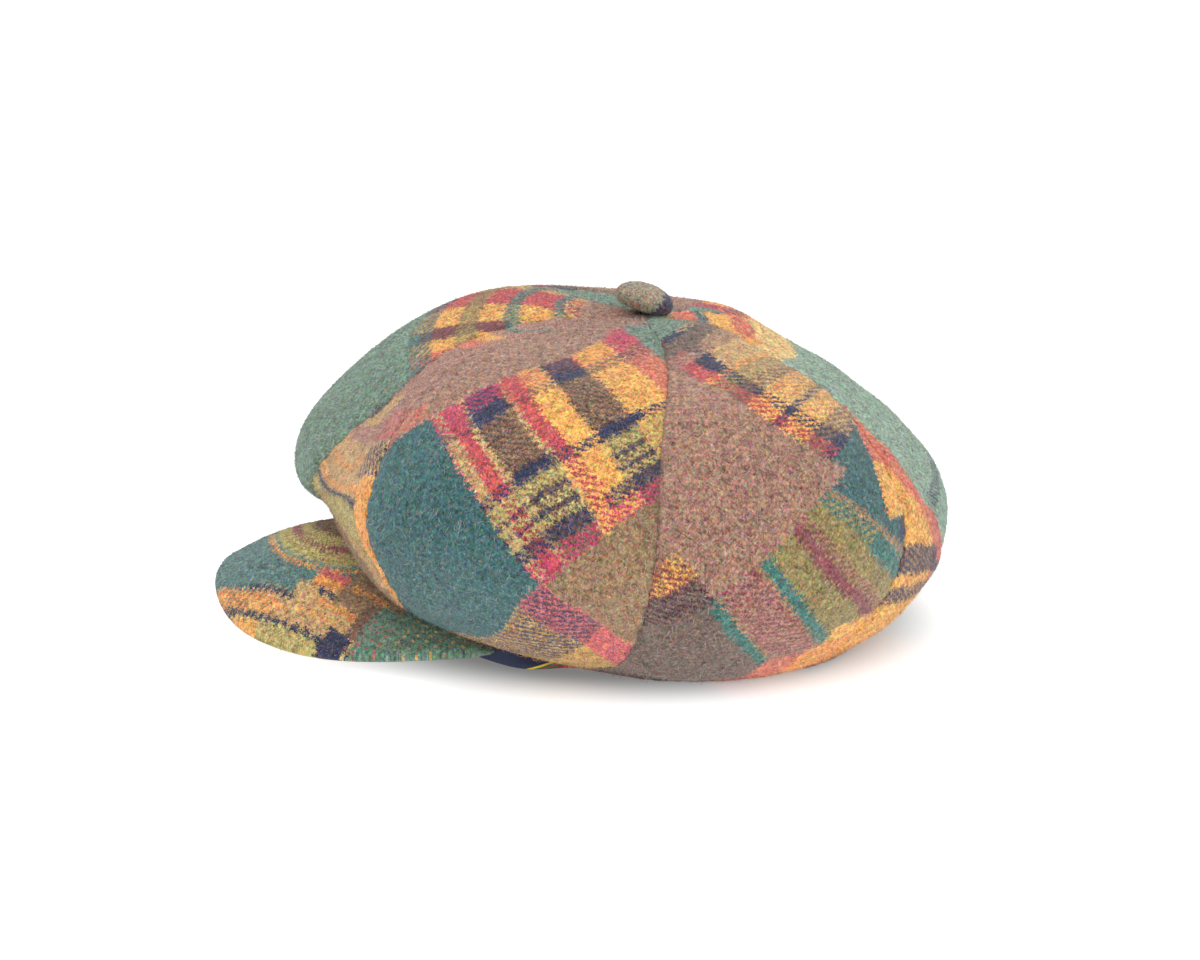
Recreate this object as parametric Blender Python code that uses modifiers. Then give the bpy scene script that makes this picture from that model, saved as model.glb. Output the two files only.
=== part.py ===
"""An eight panel baker boy cap, resting on a table.

Metres, +Z up. The peak points along -Y and the wearer's left is +X. The cap is worked out round the
middle of its head opening at table height, and then stood with the middle of its base on the origin.
"""

import math

import bmesh
import bpy
import numpy as np
from mathutils import Matrix, Vector

# Crown
CROWN_REACH = 0.150        # from the button's axis to the widest part of the crown
CROWN_RISE = 0.134         # height of the cloth under the button
BUTTON_BACK = 0.024        # how far the button lies behind the middle of the head opening
TIP_HOLE = 0.0045          # radius of the hole that the eight panel tips leave under the button
CLOTH_WALL = 0.0022        # brushed wool with its backing
SEAM_GAP = 0.0003          # between neighbouring pieces

# Head opening and sweatband
OPENING_LENGTH = 0.204     # front to back, outside the sweatband
OPENING_WIDTH = 0.174      # side to side
BAND_WALL = 0.0012         # ribbon
BAND_WIDTH = 0.030
BAND_DROP = 0.0075         # how far the ribbon hangs below the hem round the front
BAND_TUCK = 0.0010         # and round the back
BAND_FLARE = 0.0040        # how far its loose edge leans out beside the peak
FLARE_START = 3.0          # degrees past the peak's end where it starts to lean out
FLARE_SPAN = 22.0          # degrees over which it leans out and comes back

# Covered button
BUTTON_RADIUS = 0.0127
BUTTON_DOME = 0.0100       # height of the dome over its base
BUTTON_TILT = 17.0         # degrees, down towards the back
BUTTON_SLIP = 0.0020       # how far it has slipped forward of the panels' tips

# Peak
PEAK_TIP = 0.057           # from the head opening to the tip
PEAK_END = 0.004           # how far its two ends stand off the head opening
PEAK_SPREAD = 64.0         # degrees of the opening on each side of the front that it is sewn to
PEAK_WALL = 0.0048         # board with cloth on both faces
PEAK_TIP_LIFT = 0.0090     # height of the tip's lower face over the table
PEAK_SWELL = 0.0065        # how far its middle stands above a straight slope
PEAK_END_LIFT = 0.0050     # height of its two ends over the table
PEAK_TWIST = 0.0040        # how much higher its right side lies
PEAK_PRESS = 0.0010        # how much of its lowest edge the table flattens
PEAK_BLUNT = 0.80          # roundness of its outline, less is squarer

PANEL_NAMES = (
    "panel_front_left",
    "panel_side_front_left",
    "panel_side_back_left",
    "panel_back_left",
    "panel_back_right",
    "panel_side_back_right",
    "panel_side_front_right",
    "panel_front_right",
)
PANELS = len(PANEL_NAMES)

# Seams, one row each, from the front round by the wearer's left: how far out a seam is, as shares of
# CROWN_REACH from the button's axis, and how high, as shares of CROWN_RISE, at four stations.
SEAM_COLUMNS = ("crest_r", "crest_z", "shoulder_r", "shoulder_z", "rim_r", "rim_z", "belly_r", "belly_z")
SEAM_ROWS = (
    (0.47, 0.93, 0.77, 0.69, 0.94, 0.49, 0.85, 0.40),  # front
    (0.45, 1.00, 0.82, 0.90, 1.04, 0.58, 0.83, 0.25),  # front left
    (0.40, 1.00, 0.79, 0.86, 0.98, 0.47, 0.78, 0.13),  # left
    (0.39, 0.97, 0.76, 0.81, 0.95, 0.47, 0.83, 0.11),  # back left
    (0.32, 0.88, 0.63, 0.65, 0.83, 0.25, 0.75, 0.06),  # back
    (0.41, 0.92, 0.74, 0.69, 0.97, 0.35, 0.82, 0.05),  # back right
    (0.48, 0.95, 0.79, 0.80, 0.99, 0.45, 0.79, 0.08),  # right
    (0.50, 1.00, 0.82, 0.84, 1.03, 0.49, 0.81, 0.18),  # front right
)
# How far round a seam wanders near its crest, in seams.
SEAM_LEANS = (0.0, 0.0, 0.12, 0.0, 0.0, 0.0, -0.05, 0.0)
# How far each panel stands out between its seams at three stations, as shares of CROWN_REACH.
PUFF_COLUMNS = ("top", "side", "under")
PUFF_ROWS = (
    (0.00, -0.05, -0.04),  # front left
    (0.01, 0.02, 0.00),  # side front left
    (0.02, 0.04, 0.03),  # side back left
    (0.01, 0.00, 0.01),  # back left
    (-0.01, 0.08, 0.02),  # back right
    (0.01, 0.04, 0.03),  # side back right
    (0.00, 0.04, 0.03),  # side front right
    (0.03, 0.11, 0.06),  # front right
)
PUFF_SHAPE = 0.8           # how square a panel's swelling is between its seams
# Height of the hem over the table at each seam, as shares of CROWN_RISE. Below zero the cloth lies flat.
HEM_HEIGHTS = (0.320, 0.165, 0.045, -0.070, -0.070, -0.070, 0.045, 0.165)
# Share of a panel's length, from tip to hem, at which each station lies.
STATIONS = np.array((0.0, 0.25, 0.48, 0.70, 0.90, 1.0))
# Folds and dents of the soft cloth: place counted in seams, travel from tip to hem, half widths in both,
# and depth as a share of CROWN_REACH.
FOLD_COLUMNS = ("place", "travel", "place_span", "travel_span", "depth")
FOLD_ROWS = (
    (0.55, 0.66, 0.30, 0.20, -0.020),  # valley over the peak
    (1.00, 0.50, 0.16, 0.30, 0.012),  # roll along the front left seam
    (1.84, 0.80, 0.10, 0.12, -0.014),  # pinch beside the left seam
    (2.20, 0.78, 0.16, 0.14, 0.014),  # sag behind the left seam
    (3.50, 0.62, 0.20, 0.22, -0.014),  # slack of the narrow back panel
    (4.30, 0.58, 0.22, 0.16, -0.012),
    (5.60, 0.66, 0.26, 0.14, -0.016),
    (6.45, 0.60, 0.18, 0.20, -0.014),
    (7.25, 0.72, 0.16, 0.14, -0.012),
)

PANEL_CELLS = (8, 24)      # across a panel and along it
BAND_CELLS = (72, 5)
PEAK_CELLS = (20, 8)
BUTTON_SIDES = 28
BUTTON_RINGS = 8
TINY = 1e-4

WOOL = ("brushed_wool", (0.32, 0.24, 0.17), 0.95)
RIBBON = ("grosgrain_ribbon", (0.02, 0.03, 0.08), 0.70)


def around(values, place):
    """Smooth value at place, counted in seams, through one value for each seam."""
    values = np.asarray(values, float)
    first = np.floor(place).astype(int)
    share = place - first
    before, start, end, after = (values[(first + step) % PANELS] for step in (-1, 0, 1, 2))
    return (
        start * (2 * share**3 - 3 * share**2 + 1)
        + end * (3 * share**2 - 2 * share**3)
        + (end - before) / 2 * (share**3 - 2 * share**2 + share)
        + (after - start) / 2 * (share**3 - share**2)
    )


def along(points, travel):
    """Smooth curve at travel through points, one for each station."""
    spans = np.diff(STATIONS)
    slopes = [(points[i + 1] - points[i]) / spans[i] for i in range(len(spans))]
    tangents = [slopes[0]]
    for i in range(1, len(spans)):
        weight = spans[i] / (spans[i - 1] + spans[i])
        tangents.append(slopes[i - 1] * weight + slopes[i] * (1 - weight))
    tangents.append(slopes[-1])
    here = np.clip(np.searchsorted(STATIONS, travel, side="right") - 1, 0, len(spans) - 1)
    result = np.zeros_like(points[0])
    for i, span in enumerate(spans):
        share = ((travel - STATIONS[i]) / span)[..., None]
        value = (
            points[i] * (2 * share**3 - 3 * share**2 + 1)
            + points[i + 1] * (3 * share**2 - 2 * share**3)
            + tangents[i] * span * (share**3 - 2 * share**2 + share)
            + tangents[i + 1] * span * (share**3 - share**2)
        )
        result = np.where((here == i)[..., None], value, result)
    return result


def turn(place):
    """Angle from the front, by the wearer's left, of a place counted in seams."""
    return np.asarray(place, float) * 2 * math.pi / PANELS


def heading(place):
    """Unit direction in plan."""
    angle = turn(place)
    return np.stack((np.sin(angle), -np.cos(angle), np.zeros_like(angle)), axis=-1)


def opening(place, height, spread=0.0):
    """Point round the head opening's oval at a height, spread outwards."""
    angle = turn(place)
    return np.stack(
        (
            (OPENING_WIDTH / 2 + spread) * np.sin(angle),
            -(OPENING_LENGTH / 2 + spread) * np.cos(angle),
            height + np.zeros_like(angle),
        ),
        axis=-1,
    )


def hem_height(place):
    """Height of the hem's lower face over the table, where it would lie if the table were not there."""
    return around(HEM_HEIGHTS, np.asarray(place, float)) * CROWN_RISE


def tight_crown(place, travel):
    """The crown's outer surface as if the cloth were taut between the seams."""
    crest = STATIONS[1]
    share = np.clip(travel / crest, 0, 1) * np.exp(-(((travel - crest) / crest) ** 2))
    way = heading(place + around(SEAM_LEANS, place) * share)
    up = np.array((0.0, 0.0, 1.0))
    back = np.array((0.0, BUTTON_BACK, 0.0))
    size = {
        name: around([row[i] for row in SEAM_ROWS], place)[..., None]
        for i, name in enumerate(SEAM_COLUMNS)
    }
    points = [back + way * TIP_HOLE + up * CROWN_RISE]
    for station in ("crest", "shoulder", "rim", "belly"):
        middle = back / 2 if station == "belly" else back
        out, high = size[station + "_r"] * CROWN_REACH, size[station + "_z"] * CROWN_RISE
        points.append(middle + way * out + up * high)
    points.append(opening(place, hem_height(place), CLOTH_WALL + SEAM_GAP))
    return along(points, travel)


def facing(place, travel):
    """Unit normal of the taut crown, pointing out of the cap. Neighbouring panels share it."""
    across = tight_crown(place + TINY, travel) - tight_crown(place - TINY, travel)
    lower = tight_crown(place, np.minimum(travel + TINY, 1))
    upper = tight_crown(place, np.maximum(travel - TINY, 0))
    normal = np.cross(lower - upper, across)
    return normal / np.linalg.norm(normal, axis=-1, keepdims=True)


def swelling(place, travel):
    """How far the cloth stands out of the taut crown: the panel's puff and its folds."""
    panel = np.clip(np.floor(place).astype(int), 0, PANELS - 1)
    pillow = np.sin(math.pi * (place - panel)) ** PUFF_SHAPE
    top, side, under = (np.array(PUFF_ROWS)[panel][..., i : i + 1] for i in range(len(PUFF_COLUMNS)))
    none = np.zeros_like(top)
    stations = [none, top, (top + side) / 2, side, under, none]
    total = along(stations, travel)[..., 0] * pillow
    for middle, length, place_span, travel_span, depth in FOLD_ROWS:
        off = (place - middle + PANELS / 2) % PANELS - PANELS / 2
        total = total + depth * np.exp(-((off / place_span) ** 2) - ((travel - length) / travel_span) ** 2)
    ends = np.clip((1 - travel) / (1 - STATIONS[-2]), 0, 1)
    return total * CROWN_REACH * ends


def crown(place, travel, depth=0.0):
    """Point of the crown at a depth under its outer face, kept above the table."""
    normal = facing(place, travel)
    outer = tight_crown(place, travel) + normal * swelling(place, travel)[..., None]
    outer[..., 2] = np.maximum(outer[..., 2], 0.0)
    flat = np.clip(outer[..., 2:] / CLOTH_WALL, 0, 1)
    normal = normal * flat + np.array((0.0, 0.0, -1.0)) * (1 - flat)
    normal = normal / np.linalg.norm(normal, axis=-1, keepdims=True)
    return outer - normal * np.asarray(depth)[..., None]


def clear_scene():
    for obj in list(bpy.data.objects):
        bpy.data.objects.remove(obj)


def make_material(name, colour, roughness):
    made = bpy.data.materials.new(name)
    made.use_nodes = True
    shader = made.node_tree.nodes["Principled BSDF"]
    shader.inputs["Base Color"].default_value = (*colour, 1.0)
    shader.inputs["Roughness"].default_value = roughness
    return made


def add_object(name, bm, collection, material):
    mesh = bpy.data.meshes.new(name)
    bm.to_mesh(mesh)
    bm.free()
    mesh.shade_smooth()
    made = bpy.data.objects.new(name, mesh)
    made.data.materials.append(material)
    collection.objects.link(made)
    return made


def sheet_block(cells):
    """A flat block of cells, with each corner's share across, share along and layer, 0 outer, 1 inner."""
    bm = bmesh.new()
    bmesh.ops.create_grid(bm, x_segments=cells[0], y_segments=cells[1], size=0.5)
    layer = bmesh.ops.extrude_face_region(bm, geom=bm.faces[:], use_keep_orig=True)
    raised = [item for item in layer["geom"] if isinstance(item, bmesh.types.BMVert)]
    bmesh.ops.translate(bm, verts=raised, vec=(0.0, 0.0, 1.0))
    corners = np.array([vert.co[:] for vert in bm.verts])
    return bm, corners[:, 0] + 0.5, 0.5 - corners[:, 1], corners[:, 2]


def place_vertices(bm, points):
    for vert, point in zip(bm.verts, points):
        vert.co = point
    bmesh.ops.recalc_face_normals(bm, faces=bm.faces[:])


def make_panel(index, collection, material):
    """A wedge of the crown, from its tip under the button to the hem."""
    bm, across, travel, layer = sheet_block(PANEL_CELLS)
    middle = np.full_like(travel, index + 0.5)
    width = np.linalg.norm(
        tight_crown(middle + TINY, travel) - tight_crown(middle - TINY, travel), axis=-1
    ) / (2 * TINY)
    margin = SEAM_GAP / 2 / width
    place = index + margin + across * (1 - 2 * margin)
    place_vertices(bm, crown(place, travel, layer * CLOTH_WALL))
    return add_object(PANEL_NAMES[index], bm, collection, material)


def make_sweatband(collection, material):
    """The ribbon, a ring inside the hem whose lower edge leans out just behind the peak's ends."""
    bm, across, up, layer = sheet_block(BAND_CELLS)
    place = across * PANELS
    past = (np.minimum(across, 1 - across) * 360 - PEAK_SPREAD - FLARE_START) / FLARE_SPAN
    fade = np.clip(past, 0, 1)
    drop = BAND_TUCK + (BAND_DROP - BAND_TUCK) * (1 - fade * fade * (3 - 2 * fade))
    hem = hem_height(place)
    height = np.maximum(hem - drop, 0.0) + up * BAND_WIDTH
    below = np.clip((hem - height) / drop, 0, 1)
    lean = BAND_FLARE * np.sin(math.pi * fade) ** 2 * below
    place_vertices(bm, opening(place, height, lean - layer * BAND_WALL))
    ends = [face for face in bm.faces if all(abs(vert.co.x) < TINY and vert.co.y < 0 for vert in face.verts)]
    bmesh.ops.delete(bm, geom=ends, context="FACES_ONLY")
    bmesh.ops.remove_doubles(bm, verts=bm.verts[:], dist=TINY / 10)
    bmesh.ops.recalc_face_normals(bm, faces=bm.faces[:])
    return add_object("sweatband", bm, collection, material)


def peak_face(across, out):
    """Point on the peak's lower face: across from -1, right, to 1, left, and out from root to edge."""
    place = across * PEAK_SPREAD / 360 * PANELS
    root = opening(place, hem_height(place) - SEAM_GAP - PEAK_WALL, SEAM_GAP)
    bend = across * math.pi / 2
    front = np.maximum(np.cos(bend), 0.0)
    end = opening(PEAK_SPREAD / 360 * PANELS, 0.0, PEAK_END)
    reach = OPENING_LENGTH / 2 + PEAK_TIP + end[1]
    lift = PEAK_TIP_LIFT * front**4 + PEAK_END_LIFT * across**8 - PEAK_PRESS
    lift += PEAK_TWIST * np.clip(-across, 0, 1) * (1 - front**2)
    sides = (end[0] * np.sin(bend), end[1] - reach * front**PEAK_BLUNT, np.maximum(lift, 0.0))
    edge = np.stack(sides, axis=-1)
    point = root + (edge - root) * out[..., None]
    point[..., 2] += PEAK_SWELL * np.sin(math.pi * out) * front
    return point


def make_peak(collection, material):
    """The stiff peak, an arched board that droops from the hem to the table."""
    bm, across, out, layer = sheet_block(PEAK_CELLS)
    points = peak_face(2 * across - 1, out)
    points[:, 2] += layer * PEAK_WALL
    place_vertices(bm, points)
    return add_object("peak", bm, collection, material)


def button_seat():
    """Height over the table at which the tilted button's base just clears the panels."""
    place = np.linspace(0, PANELS, 8 * PANELS, endpoint=False)
    tilt = math.tan(math.radians(BUTTON_TILT))
    seats = []
    for travel in np.linspace(0, STATIONS[1], 12):
        points = crown(place + TINY, np.full_like(place, travel))
        back = points[:, 1] - BUTTON_BACK + BUTTON_SLIP
        under = np.hypot(points[:, 0], back) < BUTTON_RADIUS
        seats.extend((points[:, 2] + back * tilt)[under])
    return max(seats) + SEAM_GAP / math.cos(math.radians(BUTTON_TILT))


def make_button(collection, material):
    """The covered button, a turned dome on a flat base."""
    bm = bmesh.new()
    verts = [bm.verts.new((0.0, 0.0, BUTTON_DOME))]
    for ring in range(1, BUTTON_RINGS + 1):
        bend = ring / BUTTON_RINGS * math.pi / 2
        height = BUTTON_DOME * (0.3 + 0.7 * math.cos(bend))
        verts.append(bm.verts.new((BUTTON_RADIUS * math.sin(bend), 0.0, height)))
    verts.append(bm.verts.new((BUTTON_RADIUS * 0.86, 0.0, 0.0)))
    verts.append(bm.verts.new((0.0, 0.0, 0.0)))
    for start, end in zip(verts, verts[1:]):
        bm.edges.new((start, end))
    made = add_object("button", bm, collection, material)
    turned = made.modifiers.new("Turned", "SCREW")
    turned.axis = "Z"
    turned.steps = BUTTON_SIDES
    turned.render_steps = BUTTON_SIDES
    turned.use_merge_vertices = True
    turned.merge_threshold = TINY / 10
    place = Matrix.Translation((0.0, BUTTON_BACK - BUTTON_SLIP, button_seat()))
    made.matrix_world = place @ Matrix.Rotation(-math.radians(BUTTON_TILT), 4, "X")
    return made


def stand_on_origin(pieces):
    """Move the cap so that the middle of its bounding box in plan is the origin."""
    bpy.context.view_layer.update()
    corners = [piece.matrix_world @ Vector(corner) for piece in pieces for corner in piece.bound_box]
    for axis in (0, 1):
        sides = [corner[axis] for corner in corners]
        for piece in pieces:
            piece.location[axis] -= (min(sides) + max(sides)) / 2


def main():
    clear_scene()
    cap = bpy.data.collections.new("baker_boy_cap")
    bpy.context.scene.collection.children.link(cap)
    wool = make_material(*WOOL)
    pieces = [make_panel(index, cap, wool) for index in range(PANELS)]
    pieces.append(make_button(cap, wool))
    pieces.append(make_peak(cap, wool))
    pieces.append(make_sweatband(cap, make_material(*RIBBON)))
    stand_on_origin(pieces)


main()
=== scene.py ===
"""The look of an eight panel baker boy cap of brushed plaid wool, resting on a pale table.

Metres, +Z up. The peak points along -Y and the wearer's left is +X. The crown, the button and the ribbon
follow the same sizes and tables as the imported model, at a finer step, and the cloth of the peak curls a
little off its solid. Seams, creases and nap are added.
"""

import math
from collections import namedtuple

import bmesh
import bpy
import numpy as np
from mathutils import Matrix, Vector


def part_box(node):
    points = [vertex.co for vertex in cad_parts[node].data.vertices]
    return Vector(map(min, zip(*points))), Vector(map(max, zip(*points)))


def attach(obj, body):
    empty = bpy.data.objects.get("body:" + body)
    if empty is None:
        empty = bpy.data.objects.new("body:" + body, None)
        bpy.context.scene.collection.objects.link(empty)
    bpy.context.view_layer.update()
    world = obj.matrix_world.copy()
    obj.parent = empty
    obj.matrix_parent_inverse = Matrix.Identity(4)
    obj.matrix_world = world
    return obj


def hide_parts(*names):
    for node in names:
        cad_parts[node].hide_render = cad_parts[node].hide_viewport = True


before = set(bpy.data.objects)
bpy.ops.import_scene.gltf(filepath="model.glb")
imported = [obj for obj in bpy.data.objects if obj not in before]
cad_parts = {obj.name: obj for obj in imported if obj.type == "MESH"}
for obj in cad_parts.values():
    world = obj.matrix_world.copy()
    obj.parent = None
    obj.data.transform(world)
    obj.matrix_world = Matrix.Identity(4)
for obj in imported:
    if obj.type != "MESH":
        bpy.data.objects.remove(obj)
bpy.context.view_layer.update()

BODY = "root"

# Crown
CROWN_REACH = 0.150        # from the button's axis to the widest part of the crown
CROWN_RISE = 0.134         # height of the cloth under the button
BUTTON_BACK = 0.024        # how far the button lies behind the middle of the head opening
TIP_HOLE = 0.0045          # radius of the hole that the eight panel tips leave under the button
CLOTH_WALL = 0.0022
SEAM_GAP = 0.0003

# Head opening and sweatband
OPENING_LENGTH = 0.204
OPENING_WIDTH = 0.174
BAND_WALL = 0.0012
BAND_WIDTH = 0.030
BAND_DROP = 0.0075         # how far the ribbon hangs below the hem round the front
BAND_TUCK = 0.0010         # and round the back
BAND_FLARE = 0.0040        # how far its loose edge leans out beside the peak
FLARE_START = 3.0          # degrees past the peak's end where it starts to lean out
FLARE_SPAN = 22.0          # degrees over which it leans out and comes back
BAND_TURN = 0.0036         # how much of its striped edge is turned under round the front
TURN_END = 84.0            # degrees at which the whole edge shows again
TURN_FADE = 9.0

# Covered button
BUTTON_RADIUS = 0.0127
BUTTON_DOME = 0.0100
BUTTON_TILT = 17.0         # degrees, down towards the back
BUTTON_SLIP = 0.0020       # how far it has slipped forward of the panels' tips
BUTTON_SKIRT = 0.3         # share of its height that its upright side takes
BUTTON_BASE = ((0.985, 0.18), (0.94, 0.08), (0.86, 0.0), (0.5, 0.0), (0.0, 0.0))  # shares out and up
PLEATS = 18
PLEAT_DEPTH = 0.018        # share of its radius
BUTTON_HEATHER = 2.0       # its flecks against those of the panels

# Peak
PEAK_TIP = 0.0595          # from the head opening to the tip
PEAK_END = 0.004           # how far its two ends stand off the head opening
PEAK_SPREAD = 64.0         # degrees of the opening on each side of the front that it is sewn to
PEAK_TUCK = 4.0            # degrees that its ends run on under the hem
PEAK_WALL = 0.0048
PEAK_TIP_LIFT = 0.0170     # how far the cloth over its tip curls up from the table
PEAK_SWELL = 0.0043        # how far it arches up halfway out
PEAK_END_LIFT = 0.0090     # how far its two ends stand up from the table
PEAK_WAIST = 0.035         # how much narrower it is ahead than at its ends
PEAK_BLUNT = 0.76          # 1 for an edge that is half an oval, and less for a blunter one
PEAK_WARP = 0.0034         # how far its edge rises right of the tip and hangs left of it
WARP_RISE = -0.36          # where it does so, as a share of its half width
WARP_HANG = 0.30
WARP_SPAN = 0.26
RIM_REACH = 0.0036         # from the edge to where the peak has its full thickness
RIM_THINNEST = 0.01
STITCH_DENT = 0.0005       # how deep the stitches beside the edge pull the cloth in
STITCH_OFF = 0.0052        # how far they are from the edge
STITCH_SPAN = 0.0011
PEAK_CREASE = 0.0006       # soft unevenness of its cloth

PANEL_NAMES = (
    "panel_front_left",
    "panel_side_front_left",
    "panel_side_back_left",
    "panel_back_left",
    "panel_back_right",
    "panel_side_back_right",
    "panel_side_front_right",
    "panel_front_right",
)
PANELS = len(PANEL_NAMES)

# Seams, one row each, from the front round by the wearer's left: shares of CROWN_REACH and CROWN_RISE.
SEAM_COLUMNS = ("crest_r", "crest_z", "shoulder_r", "shoulder_z", "rim_r", "rim_z", "belly_r", "belly_z")
SEAM_ROWS = (
    (0.47, 0.93, 0.77, 0.69, 0.94, 0.49, 0.85, 0.40),  # front
    (0.45, 1.00, 0.82, 0.90, 1.04, 0.58, 0.83, 0.25),  # front left
    (0.40, 1.00, 0.79, 0.86, 0.98, 0.47, 0.78, 0.13),  # left
    (0.39, 0.97, 0.76, 0.81, 0.95, 0.47, 0.83, 0.11),  # back left
    (0.32, 0.88, 0.63, 0.65, 0.83, 0.25, 0.75, 0.06),  # back
    (0.41, 0.92, 0.74, 0.69, 0.97, 0.35, 0.82, 0.05),  # back right
    (0.48, 0.95, 0.79, 0.80, 0.99, 0.45, 0.79, 0.08),  # right
    (0.50, 1.00, 0.82, 0.84, 1.03, 0.49, 0.81, 0.18),  # front right
)
SEAM_LEANS = (0.0, 0.0, 0.12, 0.0, 0.0, 0.0, -0.05, 0.0)

# How far a panel puffs out at its top, side and underside, as shares of CROWN_REACH
PUFF_ROWS = (
    (0.00, -0.05, -0.04),  # front left
    (0.01, 0.02, 0.00),  # side front left
    (0.02, 0.04, 0.03),  # side back left
    (0.01, 0.00, 0.01),  # back left
    (-0.01, 0.08, 0.02),  # back right
    (0.01, 0.04, 0.03),  # side back right
    (0.00, 0.04, 0.03),  # side front right
    (0.03, 0.11, 0.06),  # front right
)
PUFF_SHAPE = 0.8
HEM_HEIGHTS = (0.320, 0.165, 0.045, -0.070, -0.070, -0.070, 0.045, 0.165)
STATIONS = np.array((0.0, 0.25, 0.48, 0.70, 0.90, 1.0))

# Folds: place in seams, travel from the tip, their two spans, and depth as a share of CROWN_REACH
FOLD_ROWS = (
    (0.55, 0.66, 0.30, 0.20, -0.020),  # valley over the peak
    (1.00, 0.50, 0.16, 0.30, 0.012),  # roll along the front left seam
    (1.84, 0.80, 0.10, 0.12, -0.014),  # pinch beside the left seam
    (2.20, 0.78, 0.16, 0.14, 0.014),  # sag behind the left seam
    (3.50, 0.62, 0.20, 0.22, -0.014),  # slack of the narrow back panel
    (4.30, 0.58, 0.22, 0.16, -0.012),
    (5.60, 0.66, 0.26, 0.14, -0.016),
    (6.45, 0.60, 0.18, 0.20, -0.014),
    (7.25, 0.72, 0.16, 0.14, -0.012),
)
TINY = 1e-4

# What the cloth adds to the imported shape
PANEL_CELLS = (40, 120)    # across a panel and along it
BAND_CELLS = (288, 16)
PEAK_CELLS = (96, 32)
BUTTON_SIDES = 72
BUTTON_RINGS = 24
SEAM_SINK = 0.0004         # how deep a seam lies
SEAM_ROLL = 0.0026         # how far from the seam the cloth starts to roll in
SEAM_TOUCH = 0.00002       # what is left of the seam gap once the nap closes it
PUCKER_PITCH = 0.011       # between the small gathers along a seam
PUCKER_DEPTH = 0.00035
CREASE_DEPTH = 0.0011      # soft unevenness of the cloth
RELIEF_FROM_TIP = 0.08     # shares of a panel's length over which all this fades out at its ends
RELIEF_FROM_HEM = 0.06
NAP_PER_PANEL = 21000
NAP_ON_PEAK = 14000
NAP_ON_BUTTON = 1500
NAP_WIDTH = 0.00019
NAP_STRAY = 0.9            # how far the fibres lie from the way that they fall
NAP_CURL = 0.28
NAP_PALENESS = (0.02, 1.0)
LOOSE_HAIRS = 16           # pale hairs and lint on a panel
FIBRE_CORNERS = 5
FIBRE_BAKE_SIZE = 0.0005   # its size on the baked map
PANEL_SEED = 100
PEAK_SEED = 200
BUTTON_SEED = 300
NO_SEAM = 9.0              # millimetres from a seam, past which none of its painted shade shows
BAKE_MARGIN = 0.01         # of the baked map, as the next two are
BAKE_SIZE = (0.47, 0.98)   # of one face of a sheet, across and along
RIM_STRIPS = (0.012, 0.006)  # widths of the strips for a sheet's rim, as shares of that size
MM = 0.001

# Camera: the photograph's angle, aimed at the middle of the head opening
IMAGE_SIZE = (1200, 960)
AIM_PIXEL = (590, 616)
CAMERA_ELEVATION = 15.0
CAMERA_DISTANCE = 1.23
LENS = 85.0
SENSOR = 36.0


def eased(start, end, start_slope, end_slope, share):
    """Cubic from start to end with these slopes, at a share of the way."""
    return (
        start * (2 * share**3 - 3 * share**2 + 1)
        + end * (3 * share**2 - 2 * share**3)
        + start_slope * (share**3 - 2 * share**2 + share)
        + end_slope * (share**3 - share**2)
    )


def around(values, place):
    """Smooth value at place, counted in seams, through one value for each seam."""
    values = np.asarray(values, float)
    first = np.floor(place).astype(int)
    before, start, end, after = (values[(first + step) % PANELS] for step in (-1, 0, 1, 2))
    return eased(start, end, (end - before) / 2, (after - start) / 2, place - first)


def through_stations(points, travel):
    """Smooth curve at travel through points, one for each station."""
    spans = np.diff(STATIONS)
    slopes = [(points[i + 1] - points[i]) / spans[i] for i in range(len(spans))]
    tangents = [slopes[0]]
    for i in range(1, len(spans)):
        weight = spans[i] / (spans[i - 1] + spans[i])
        tangents.append(slopes[i - 1] * weight + slopes[i] * (1 - weight))
    tangents.append(slopes[-1])
    here = np.clip(np.searchsorted(STATIONS, travel, side="right") - 1, 0, len(spans) - 1)
    result = np.zeros_like(points[0])
    for i, span in enumerate(spans):
        share = ((travel - STATIONS[i]) / span)[..., None]
        value = eased(points[i], points[i + 1], tangents[i] * span, tangents[i + 1] * span, share)
        result = np.where((here == i)[..., None], value, result)
    return result


def turn(place):
    """Angle from the front, by the wearer's left, of a place counted in seams."""
    return np.asarray(place, float) * 2 * math.pi / PANELS


def heading(place):
    """Unit direction in plan."""
    angle = turn(place)
    return np.stack((np.sin(angle), -np.cos(angle), np.zeros_like(angle)), axis=-1)


def opening(place, height, spread=0.0):
    """Point round the head opening's oval at a height, spread outwards."""
    angle = turn(place)
    return np.stack(
        (
            (OPENING_WIDTH / 2 + spread) * np.sin(angle),
            -(OPENING_LENGTH / 2 + spread) * np.cos(angle),
            height + np.zeros_like(angle),
        ),
        axis=-1,
    )


def hem_height(place):
    """Height of the hem's lower face over the table, where it would lie if the table were not there."""
    return around(HEM_HEIGHTS, np.asarray(place, float)) * CROWN_RISE


def tight_crown(place, travel):
    """The crown's outer surface as if the cloth were taut between the seams."""
    crest = STATIONS[1]
    share = np.clip(travel / crest, 0, 1) * np.exp(-(((travel - crest) / crest) ** 2))
    way = heading(place + around(SEAM_LEANS, place) * share)
    up = np.array((0.0, 0.0, 1.0))
    back = np.array((0.0, BUTTON_BACK, 0.0))
    size = {
        name: around([row[i] for row in SEAM_ROWS], place)[..., None]
        for i, name in enumerate(SEAM_COLUMNS)
    }
    points = [back + way * TIP_HOLE + up * CROWN_RISE]
    for station in ("crest", "shoulder", "rim", "belly"):
        middle = back / 2 if station == "belly" else back
        out, high = size[station + "_r"] * CROWN_REACH, size[station + "_z"] * CROWN_RISE
        points.append(middle + way * out + up * high)
    points.append(opening(place, hem_height(place), CLOTH_WALL + SEAM_GAP))
    return through_stations(points, travel)


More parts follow.
